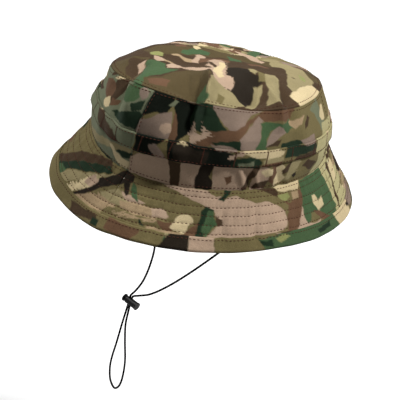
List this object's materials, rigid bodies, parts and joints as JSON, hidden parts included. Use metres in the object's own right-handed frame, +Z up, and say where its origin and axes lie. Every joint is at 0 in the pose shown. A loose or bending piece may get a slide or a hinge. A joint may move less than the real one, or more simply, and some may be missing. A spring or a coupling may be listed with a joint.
{
  "type": "boonie hat",
  "caption": "Soft round-crowned sun hat with a drooping stitched brim, a looped foliage band and a chin cord with a sliding spring cord lock.",
  "frame": {"origin": "centre of the head opening, in the plane of the seam between crown and brim", "axes": "+X towards the front of the hat, +Y towards the wearer's left ear, +Z up"},
  "size_m": [0.271, 0.233, 0.3727],
  "materials": {
    "camouflage_cloth": "matt woven cotton in a printed pattern of olive, tan, brown and dark green",
    "band_tape": "matt woven tape in the same printed pattern",
    "thread": "sewing thread",
    "interlining": "stiff plain weave",
    "sweatband_tape": "matt cotton tape",
    "cord": "round braided cord",
    "lock_plastic": "satin moulded plastic",
    "spring_steel": "bright spring wire"
  },
  "bodies": {
    "hat": {"crown_top": "camouflage_cloth", "side_panel_front": "camouflage_cloth", "side_panel_rear_left": "camouflage_cloth", "side_panel_rear_right": "camouflage_cloth", "foliage_band": "band_tape", "band_bar_tacks": "thread", "brim_top_front": "camouflage_cloth", "brim_top_rear_left": "camouflage_cloth", "brim_top_rear_right": "camouflage_cloth", "brim_interlining": "interlining", "brim_under": "camouflage_cloth", "brim_edge_binding": "band_tape", "sweatband": "sweatband_tape", "cord_anchor_left": "sweatband_tape", "cord_anchor_right": "sweatband_tape"},
    "chin_cord": {"chin_cord": "cord"},
    "cord_lock": {"cord_lock_barrel": "lock_plastic", "cord_lock_spring": "spring_steel"},
    "cord_lock_button": {"cord_lock_button": "lock_plastic"}
  },
  "joints": [
    {"name": "chin_cord_swing", "type": "hinge", "parent": "hat", "child": "chin_cord", "pos_m": [0.02, 0, -0.007], "axis": [0, 1, 0], "range_deg": [-60, 60]},
    {"name": "cord_lock_slide", "type": "slide", "parent": "chin_cord", "child": "cord_lock", "axis": [0, -0.1736, 0.9848], "range_m": [-0.04, 0.1], "deforming": ["chin_cord"]},
    {"name": "button_press", "type": "slide", "parent": "cord_lock", "child": "cord_lock_button", "axis": [0, -0.9848, -0.1736], "range_m": [0, 0.002], "stiffness_N_per_m": 600, "deforming": ["cord_lock_spring"]}
  ]
}
